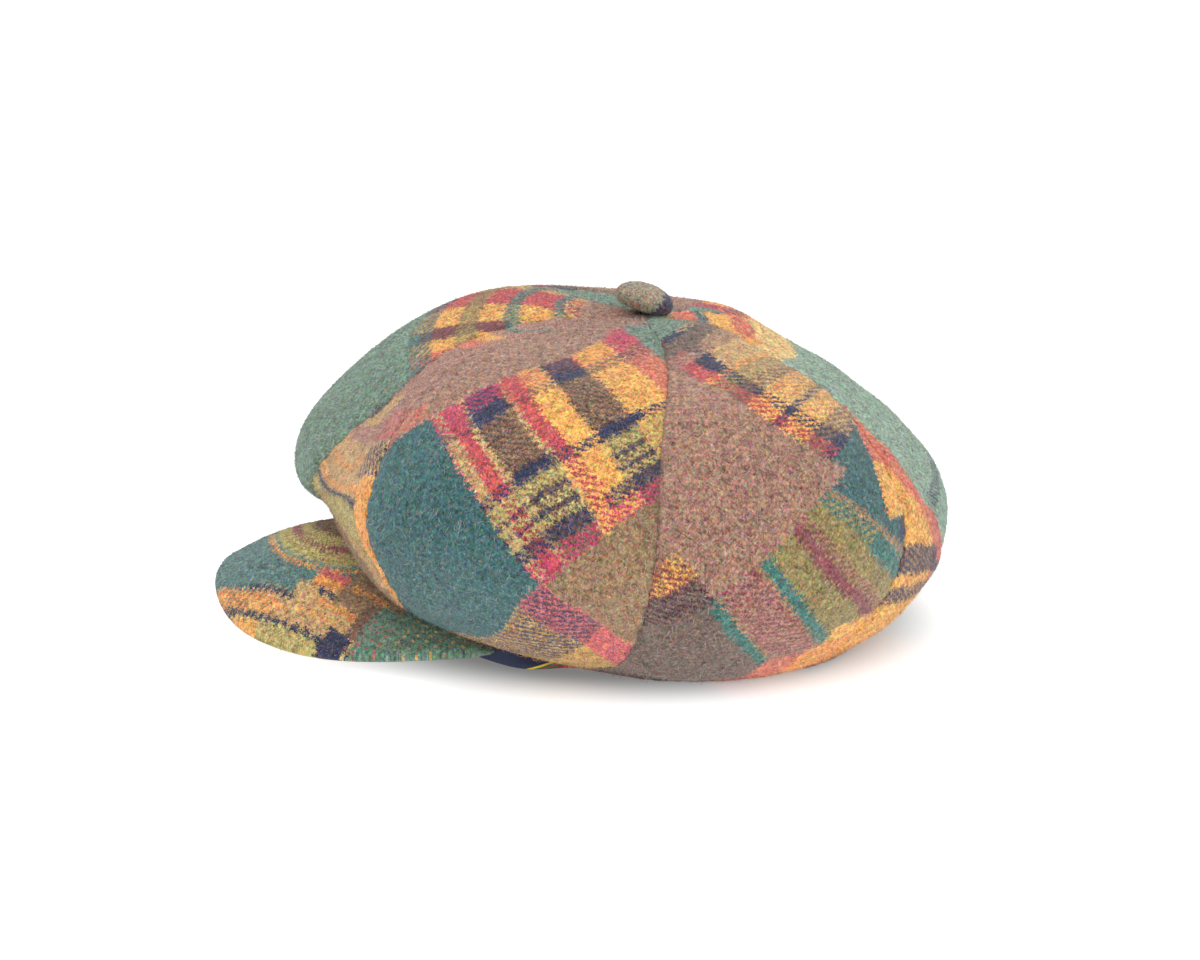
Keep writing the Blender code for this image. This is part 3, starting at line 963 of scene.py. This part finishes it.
def set_cloth(mesh, bake, weave, cut, seam):
    """What the wool reads from a piece: its maps, and how far each vertex is from a seam, in millimetres."""
    corners, _ = corner_numbers(mesh)
    set_map(mesh, "OFBake", bake)
    set_map(mesh, "weave", weave[corners])
    set_map(mesh, "cut", cut[corners])
    set_measure(mesh, "fibre", np.zeros(len(mesh.vertices)))
    set_measure(mesh, "seam", seam)


def bake_places(mesh, across, travel, layer):
    """Outer face in the left half of the map, inner face in the right, and the rim beside the outer face."""
    corners, faces = corner_numbers(mesh)
    inner = layer[corners] > 0.5
    share = np.bincount(faces, inner) / np.bincount(faces)
    rim = (share[faces] > 0.01) & (share[faces] < 0.99)
    places = []
    for shares, strip in zip((across[corners], travel[corners]), RIM_STRIPS):
        off = shares - 0.5
        places.append(shares + np.where(rim & inner, np.sign(off) * (abs(off) > 0.499) * strip, 0))
    places = BAKE_MARGIN + np.stack(places, axis=-1) * BAKE_SIZE
    places[:, 0] += 0.5 * (inner & ~rim)
    return places


class Nap:
    """The brushed fibres of a piece: where they stand, how they lie and what they carry from the cloth."""

    def __init__(self, mesh, faces_wanted, seed):
        self.mesh = mesh
        self.random = np.random.default_rng(seed)
        mesh.calc_loop_triangles()
        triangles = numbers(mesh.loop_triangles, "loops", 3, int)
        self.corners, faces = corner_numbers(mesh)
        self.triangles = triangles[faces_wanted[faces[triangles[:, 0]]]]
        self.points = numbers(mesh.vertices, "co", 3).astype(float)
        self.normals = numbers(mesh.vertices, "normal", 3).astype(float)

    def roots(self, count):
        """Random places on the cloth: their triangles and shares of the corners."""
        a, b, c = (self.points[self.corners[self.triangles[:, i]]] for i in range(3))
        area = np.linalg.norm(np.cross(b - a, c - a), axis=1)
        chosen = self.random.choice(len(area), count, p=area / area.sum())
        shares = self.random.dirichlet((1, 1, 1), count)
        return self.triangles[chosen], shares

    def map_at(self, name, triangles, shares):
        values = numbers(self.mesh.uv_layers[name].data, "uv", 2)
        return np.einsum("ij,ijk->ik", shares, values[triangles])

    def grow(self, count, length, lift, width, fibre, fall=(0.0, 0.0, -1.0)):
        """A mesh of flat tapering fibres, which lie the way that they fall.

        Length, lift and fibre are spans to choose from, in metres, radians and paleness.
        """
        triangles, shares = self.roots(count)
        vertex = self.corners[triangles]
        root = np.einsum("ij,ijk->ik", shares, self.points[vertex])
        normal = np.einsum("ij,ijk->ik", shares, self.normals[vertex])
        normal /= np.linalg.norm(normal, axis=1, keepdims=True)
        way = self.random.normal(size=(count, 3)) * NAP_STRAY + np.array(fall)
        way -= normal * np.sum(way * normal, axis=1, keepdims=True)
        way /= np.linalg.norm(way, axis=1, keepdims=True) + 1e-9
        side = np.cross(normal, way)
        size = self.random.uniform(*length, count)[:, None]
        rise = self.random.uniform(*lift, count)[:, None]
        curl = self.random.normal(0, NAP_CURL, count)[:, None]
        half = side * width / 2
        middle = root + (way * np.cos(rise) + normal * np.sin(rise) + side * curl * 0.5) * size * 0.5
        tip = root + (way * np.cos(rise) + normal * np.sin(rise) * 0.75 + side * curl * 2) * size
        root = root - normal * width
        rows = np.stack((root - half, root + half, middle - half * 0.8, middle + half * 0.8, tip), axis=1)
        rows[..., 2] = np.maximum(rows[..., 2], 0.0)
        first = np.arange(count)[:, None] * FIBRE_CORNERS
        faces = np.stack((first + (0, 1, 3), first + (0, 3, 2), first + (2, 3, 4)), axis=1).reshape(-1, 3)
        made = bpy.data.meshes.new("nap")
        made.from_pydata(rows.reshape(-1, 3), [], faces)
        owner = faces // FIBRE_CORNERS
        spot = faces % FIBRE_CORNERS
        bake = self.map_at("OFBake", triangles, shares)[owner]
        foot = np.array(((-1, -1), (1, -1), (-1, 0), (1, 0), (0, 1))) * FIBRE_BAKE_SIZE
        set_map(made, "OFBake", (bake + foot[spot]).reshape(-1, 2))
        for name in ("weave", "cut"):
            set_map(made, name, self.map_at(name, triangles, shares)[owner].reshape(-1, 2))
        set_measure(made, "fibre", np.repeat(self.random.uniform(*fibre, count), FIBRE_CORNERS))
        set_measure(made, "seam", np.full(count * FIBRE_CORNERS, NO_SEAM))
        return made


def join_meshes(first, others):
    """Adds the other meshes to the first."""
    bm = bmesh.new()
    for mesh in (first, *others):
        bm.from_mesh(mesh)
    bm.to_mesh(first)
    bm.free()
    for mesh in others:
        bpy.data.meshes.remove(mesh)


def put_in_scene(name, data):
    made = bpy.data.objects.new(name, data)
    bpy.context.scene.collection.objects.link(made)
    return made


def show(name, mesh, material, node):
    """Puts a finished mesh in the scene in place of its node."""
    mesh.materials.append(material)
    mesh.shade_smooth()
    piece = put_in_scene(name, mesh)
    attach(piece, BODY)
    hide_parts(node)


# The crown

# Waves of handled cloth: the way that they run, their length and their share of the whole
UNEVEN_ROWS = (
    (1.0, 0.3, 0.5, 0.052, 0.35),
    (-0.4, 1.0, 0.6, 0.043, 0.30),
    (0.2, -0.8, 1.0, 0.031, 0.22),
    (0.9, 0.9, -0.7, 0.024, 0.13),
)


def unevenness(points):
    """Soft waves of cloth that has been handled, as a share of CREASE_DEPTH."""
    total = np.zeros(points.shape[:-1])
    for x, y, z, length, share in UNEVEN_ROWS:
        way = np.array((x, y, z)) / math.hypot(x, y, z)
        bend = 9 * share * np.sin(points[..., 2] / length)
        total += share * np.sin(points @ way / length * 2 * math.pi + bend)
    return total


def panel_measures(index):
    """Width across and length along a panel at a row of travels, in metres."""
    travel = np.linspace(0, 1, 201)
    place = index + np.linspace(0.001, 0.999, 61)
    rows, columns = np.meshgrid(travel, place, indexing="ij")
    width = np.linalg.norm(np.diff(crown(columns, rows), axis=1), axis=2).sum(1)
    middle = tight_crown(np.full_like(travel, index + 0.5), travel)
    steps = np.linalg.norm(np.diff(middle, axis=0), axis=1)
    return travel, width, np.concatenate(((0.0,), np.cumsum(steps)))


def make_panel(index):
    """A wedge of the crown with rolled seams, small gathers and its nap."""
    name = PANEL_NAMES[index]
    bm, across, travel, layer = sheet_block(PANEL_CELLS)
    rows, widths, lengths = panel_measures(index)
    width = np.interp(travel, rows, widths)
    length = np.interp(travel, rows, lengths)
    margin = SEAM_TOUCH / 2 / width
    place = index + margin + across * (1 - 2 * margin)
    from_seam = np.minimum(across, 1 - across) * width
    nearest = np.where(across < 0.5, index, index + 1)
    sink = -SEAM_SINK * np.exp(-((from_seam / SEAM_ROLL) ** 2))
    gathers = np.sin(length / PUCKER_PITCH * 2 * math.pi + nearest * 1.7 + 2 * np.sin(length * 71))
    sink += PUCKER_DEPTH * gathers * np.exp(-((from_seam / (4 * SEAM_ROLL)) ** 2))
    sink += CREASE_DEPTH * unevenness(tight_crown(place, travel))
    fade = np.clip(travel / RELIEF_FROM_TIP, 0, 1) * np.clip((1 - travel) / RELIEF_FROM_HEM, 0, 1)
    place_vertices(bm, crown(place, travel, layer * CLOTH_WALL, sink * fade) + MIDDLE)
    mesh = finished(bm, name)

    cloth, lay = LAYS[index]
    side = (across - 0.5) * width
    weave = np.stack(lay(side / MM, length / MM), axis=-1) * MM
    cut = np.stack((side, length), axis=-1)
    set_cloth(mesh, bake_places(mesh, across, travel, layer), weave, cut, from_seam / MM)
    corners, faces = corner_numbers(mesh)
    nap = Nap(mesh, np.bincount(faces, layer[corners]) < 0.5, PANEL_SEED + index)
    join_meshes(mesh, [
        nap.grow(NAP_PER_PANEL, (0.0010, 0.0030), (0.05, 0.55), NAP_WIDTH, NAP_PALENESS),
        nap.grow(NAP_PER_PANEL // 12, (0.0025, 0.0050), (0.2, 0.9), NAP_WIDTH * 0.6, (0.7, 1.2)),
        nap.grow(LOOSE_HAIRS, (0.0050, 0.0090), (0.02, 0.15), NAP_WIDTH, (1.1, 1.3)),
    ])
    show("cloth_" + name, mesh, wool("wool_" + name, cloth), name)


# The peak

PEAK_FAN = (-0.0083, -0.0917)    # where the stripes of the peak's far side fan out from
PEAK_FAN_REACH = 0.060
PEAK_SLANT = 37.9                # degrees at which the stripes of its near side cross it


def lay_peak(points):
    """How the cloth lies on the peak: out from the fan's middle and round it, and across and along the
    straight stripes."""
    side, ahead = points[:, 0] - PEAK_FAN[0], PEAK_FAN[1] - points[:, 1]
    fan = np.stack((np.hypot(side, ahead), np.arctan2(side, ahead) * PEAK_FAN_REACH), axis=-1)
    slant = math.radians(PEAK_SLANT)
    turned = ((math.cos(slant), -math.sin(slant)), (math.sin(slant), math.cos(slant)))
    return fan, points[:, :2] @ np.array(turned).T


def make_peak():
    """The covered board, its rim rounded and pinched where the two faces of cloth are sewn together."""
    bm, across, out, layer = sheet_block(PEAK_CELLS)
    side = 2 * across - 1
    points = peak_face(side, out)
    root = peak_face(side, np.zeros_like(out))
    edge = peak_face(side, np.ones_like(out))
    reach = np.linalg.norm((edge - root)[:, :2], axis=1)
    from_end = (1 - abs(side)) * math.radians(PEAK_SPREAD) * OPENING_LENGTH / 2
    from_edge = np.minimum((1 - out) * reach, from_end)
    round_off = np.clip(1 - from_edge / RIM_REACH, 0, 1)
    half = PEAK_WALL / 2 * np.sqrt(np.maximum(1 - round_off**2, RIM_THINNEST))
    stitched = np.exp(-(((from_edge - STITCH_OFF) / STITCH_SPAN) ** 2))
    dent = STITCH_DENT * stitched * np.clip(reach / 0.02 - 0.4, 0, 1)
    points[:, 2] += PEAK_WALL / 2 + (2 * layer - 1) * (half - dent)
    rise, hang = (np.exp(-(((side - middle) / WARP_SPAN) ** 2)) for middle in (WARP_RISE, WARP_HANG))
    points[:, 2] += PEAK_WARP * out * (rise - hang)
    points[:, 2] += PEAK_CREASE * unevenness(points) * np.clip(from_edge / 0.01, 0, 1) * out
    points[:, 2] = np.maximum(points[:, 2], 0.0)
    place_vertices(bm, points + MIDDLE)
    mesh = finished(bm, "peak")
    fan, straight = lay_peak(points)
    # Its distance from the edge stands in for a seam's, so its rim gets the painted seam shade
    set_cloth(mesh, bake_places(mesh, across, out, 1 - layer), fan, straight, from_edge / MM + 0.3)
    corners, faces = corner_numbers(mesh)
    nap = Nap(mesh, np.bincount(faces, layer[corners]) > 3.5, PEAK_SEED)
    ahead = (0.0, -1.0, 0.0)
    join_meshes(mesh, [
        nap.grow(NAP_ON_PEAK, (0.0010, 0.0028), (0.05, 0.5), NAP_WIDTH, NAP_PALENESS, ahead)
    ])
    show("cloth_peak", mesh, wool("wool_peak", PEAK_CLOTH), "peak")


# The button

def button_seat():
    """Height over the table at which the tilted button's base just clears the panels."""
    place = np.linspace(0, PANELS, 8 * PANELS, endpoint=False)
    tilt = math.tan(math.radians(BUTTON_TILT))
    seats = []
    for travel in np.linspace(0, STATIONS[1], 12):
        points = crown(place + TINY, np.full_like(place, travel))
        back = points[:, 1] - BUTTON_BACK + BUTTON_SLIP
        under = np.hypot(points[:, 0], back) < BUTTON_RADIUS
        seats.extend((points[:, 2] + back * tilt)[under])
    return max(seats) + SEAM_GAP / math.cos(math.radians(BUTTON_TILT))


def make_button():
    """The covered button: a spun dome whose cloth is gathered in fine pleats under its rim."""
    bm = bmesh.new()
    profile = [bm.verts.new((0.0, 0.0, BUTTON_DOME))]
    for ring in range(1, BUTTON_RINGS + 1):
        bend = ring / BUTTON_RINGS * math.pi / 2
        height = BUTTON_DOME * (BUTTON_SKIRT + (1 - BUTTON_SKIRT) * math.cos(bend))
        profile.append(bm.verts.new((BUTTON_RADIUS * math.sin(bend), 0.0, height)))
    for share, height in BUTTON_BASE:
        profile.append(bm.verts.new((BUTTON_RADIUS * share, 0.0, BUTTON_DOME * height)))
    edges = [bm.edges.new(pair) for pair in zip(profile, profile[1:])]
    bmesh.ops.spin(
        bm, geom=profile + edges, cent=(0, 0, 0), axis=(0, 0, 1), angle=2 * math.pi,
        steps=BUTTON_SIDES, use_merge=True,
    )
    bmesh.ops.remove_doubles(bm, verts=bm.verts[:], dist=TINY / 10)
    bmesh.ops.recalc_face_normals(bm, faces=bm.faces[:])
    settle_faces(bm)
    flat = np.array([vert.co[:] for vert in bm.verts])
    angle = np.arctan2(flat[:, 1], flat[:, 0])
    reach = np.hypot(flat[:, 0], flat[:, 1])
    low = np.clip(1 - flat[:, 2] / (BUTTON_DOME * 0.75), 0, 1) * (reach > 0.006)
    pleat = 1 - PLEAT_DEPTH * low * (1 + np.sin(angle * PLEATS + 2 * np.sin(angle * 3)))
    place = Matrix.Translation(Vector((0.0, BUTTON_BACK - BUTTON_SLIP, button_seat())) + Vector(MIDDLE))
    place = place @ Matrix.Rotation(-math.radians(BUTTON_TILT), 4, "X")
    for vert, share in zip(bm.verts, pleat):
        vert.co = place @ Vector((vert.co.x * share, vert.co.y * share, vert.co.z))
    mesh = finished(bm, "button")
    corners, faces = corner_numbers(mesh)
    bend = np.arccos(np.clip((flat[:, 2] / BUTTON_DOME - BUTTON_SKIRT) / (1 - BUTTON_SKIRT), -1, 1))
    weave = flat[:, (1, 0)] * (0.9 * BUTTON_RADIUS * bend / np.maximum(reach, TINY))[:, None]
    spread = flat[:, :2] / BUTTON_RADIUS * (0.62 + 0.38 * (1 - flat[:, 2:] / BUTTON_DOME))
    under = np.bincount(faces, flat[corners, 2]) < 1e-6
    bake = 0.25 + 0.235 * spread[corners]
    bake[:, 0] += 0.5 * under[faces]
    set_cloth(mesh, bake, weave, weave, np.full(len(flat), NO_SEAM))
    nap = Nap(mesh, ~under, BUTTON_SEED)
    join_meshes(mesh, [nap.grow(NAP_ON_BUTTON, (0.0006, 0.0016), (0.05, 0.6), NAP_WIDTH, NAP_PALENESS)])
    show("cloth_button", mesh, wool("wool_button", BUTTON_CLOTH, BUTTON_HEATHER), "button")


# The sweatband

def make_sweatband():
    """The ribbon inside the hem, its lower edge leaning out just behind the peak's ends."""
    bm, across, up, layer = sheet_block(BAND_CELLS)
    place = across * PANELS
    degrees = np.minimum(across, 1 - across) * 360
    fade = np.clip((degrees - PEAK_SPREAD - FLARE_START) / FLARE_SPAN, 0, 1)
    turned = BAND_TURN * np.clip((TURN_END - degrees) / TURN_FADE, 0, 1)
    drop = BAND_TUCK + (BAND_DROP - BAND_TUCK) * (1 - fade * fade * (3 - 2 * fade))
    hem = hem_height(place)
    height = np.maximum(hem - drop, 0.0) + up * BAND_WIDTH
    below = np.clip((hem - height) / drop, 0, 1)
    lean = BAND_FLARE * np.sin(math.pi * fade) ** 2 * below
    place_vertices(bm, opening(place, height, lean - layer * BAND_WALL) + MIDDLE)
    mesh = finished(bm, "sweatband")
    corners, _ = corner_numbers(mesh)
    length = across * math.pi * (OPENING_LENGTH + OPENING_WIDTH) / 2
    set_map(mesh, "OFBake", bake_places(mesh, up, across, layer))
    set_map(mesh, "weave", np.stack((length, up * BAND_WIDTH + turned), axis=-1)[corners])
    bm = bmesh.new()
    bm.from_mesh(mesh)
    ends = [
        face for face in bm.faces
        if all(abs(vert.co.x - MIDDLE[0]) < TINY and vert.co.y < 0 for vert in face.verts)
    ]
    bmesh.ops.delete(bm, geom=ends, context="FACES_ONLY")
    bmesh.ops.remove_doubles(bm, verts=bm.verts[:], dist=TINY / 10)
    bmesh.ops.recalc_face_normals(bm, faces=bm.faces[:])
    bm.to_mesh(mesh)
    bm.free()
    show("ribbon_sweatband", mesh, grosgrain("navy_grosgrain"), "sweatband")


# Floor, light and camera

PAINTED_SHADOW_SIDE = 0.098          # half the size of the painted shadow under the cap: the patch where the lit floor does not glow
PAINTED_SHADOW_ALONG = 0.118
PAINTED_SHADOW_BACK = 0.018          # how far behind the head opening's middle its own middle lies
PAINTED_SHADOW_FADE_START = 0.80          # shares of that size between which the glow comes up, the painted shadow's soft edge
PAINTED_SHADOW_FADE_END = 1.30
# How much the floor glows inside the painted shadow under the cap, and outside it
PAINTED_SHADOW_GLOW = 0.18
FLOOR_GLOW = 0.90
FLOOR_SIZE = 6.0
FLOOR_GREY = (0.45, 0.45, 0.45, 1.0)


def make_floor():
    bm = bmesh.new()
    bmesh.ops.create_grid(bm, x_segments=1, y_segments=1, size=FLOOR_SIZE)
    mesh = finished(bm, "floor")
    floor = put_in_scene("floor", mesh)
    # The floor glows evenly except in a soft patch under the cap, where the glow is turned down: a painted
    # shadow.
    shader = Shader("floor_white_with_painted_shadow")
    x, y, _ = shader.node("ShaderNodeSeparateXYZ", {}, (shader.object_place(),))
    side, back = (x - MIDDLE[0]) / PAINTED_SHADOW_SIDE, (y - MIDDLE[1] - PAINTED_SHADOW_BACK) / PAINTED_SHADOW_ALONG
    off = shader.node("ShaderNodeCombineXYZ", {}, (side, back, 0.0))[0]
    reach = shader.node("ShaderNodeVectorMath", {"operation": "LENGTH"}, (off,))[1]
    ease = {"interpolation_type": "SMOOTHSTEP"}
    span = (reach, PAINTED_SHADOW_FADE_START, PAINTED_SHADOW_FADE_END, PAINTED_SHADOW_GLOW, FLOOR_GLOW)
    glow_less_in_painted_shadow = shader.node("ShaderNodeMapRange", ease, span)[0]
    mesh.materials.append(shader.surface({
        "Base Color": FLOOR_GREY, "Roughness": 1.0, "Specular IOR Level": 0.0,
        "Emission Color": glow_less_in_painted_shadow, "Emission Strength": 1.0,
    }))


def add_softbox(name, place, size, power):
    """A round light that faces the cap. Metres and watts."""
    light = bpy.data.lights.new(name, "AREA")
    light.shape = "DISK"
    light.size = size
    light.energy = power
    made = put_in_scene(name, light)
    made.location = place
    made.rotation_euler = (-Vector(place)).to_track_quat("-Z", "Y").to_euler()


def add_world():
    """Even white light from all round."""
    world = bpy.data.worlds.new("studio")
    world.use_nodes = True
    backdrop = world.node_tree.nodes["Background"]
    backdrop.inputs["Color"].default_value = (1.0, 1.0, 1.0, 1.0)
    backdrop.inputs["Strength"].default_value = 1.0
    bpy.context.scene.world = world


def add_camera():
    """The photograph's view: from the wearer's left, a little above the table."""
    rise = math.radians(CAMERA_ELEVATION)
    ahead = Vector((-math.cos(rise), 0.0, -math.sin(rise)))
    right = Vector((0.0, 1.0, 0.0))
    up = right.cross(ahead)
    pixels = LENS / SENSOR * IMAGE_SIZE[0]
    offset_right = (AIM_PIXEL[0] - IMAGE_SIZE[0] / 2) / pixels * CAMERA_DISTANCE
    offset_up = (IMAGE_SIZE[1] / 2 - AIM_PIXEL[1]) / pixels * CAMERA_DISTANCE
    camera = bpy.data.cameras.new("camera")
    camera.lens = LENS
    camera.sensor_width = SENSOR
    camera.clip_end = 50.0
    made = put_in_scene("camera", camera)
    made.matrix_world = Matrix.Translation(
        Vector(MIDDLE) - ahead * CAMERA_DISTANCE - right * offset_right - up * offset_up
    ) @ Matrix((right, up, -ahead)).transposed().to_4x4()
    bpy.context.scene.camera = made


def main():
    add_camera()
    for index in range(PANELS):
        make_panel(index)
    make_peak()
    make_button()
    make_sweatband()
    make_floor()
    add_softbox("overhead", (-0.3, -0.7, 2.2), 1.8, 17.0)
    add_softbox("front", (2.2, 0.9, 1.3), 1.6, 17.0)
    add_world()
    bpy.context.scene.view_settings.view_transform = "Standard"


main()
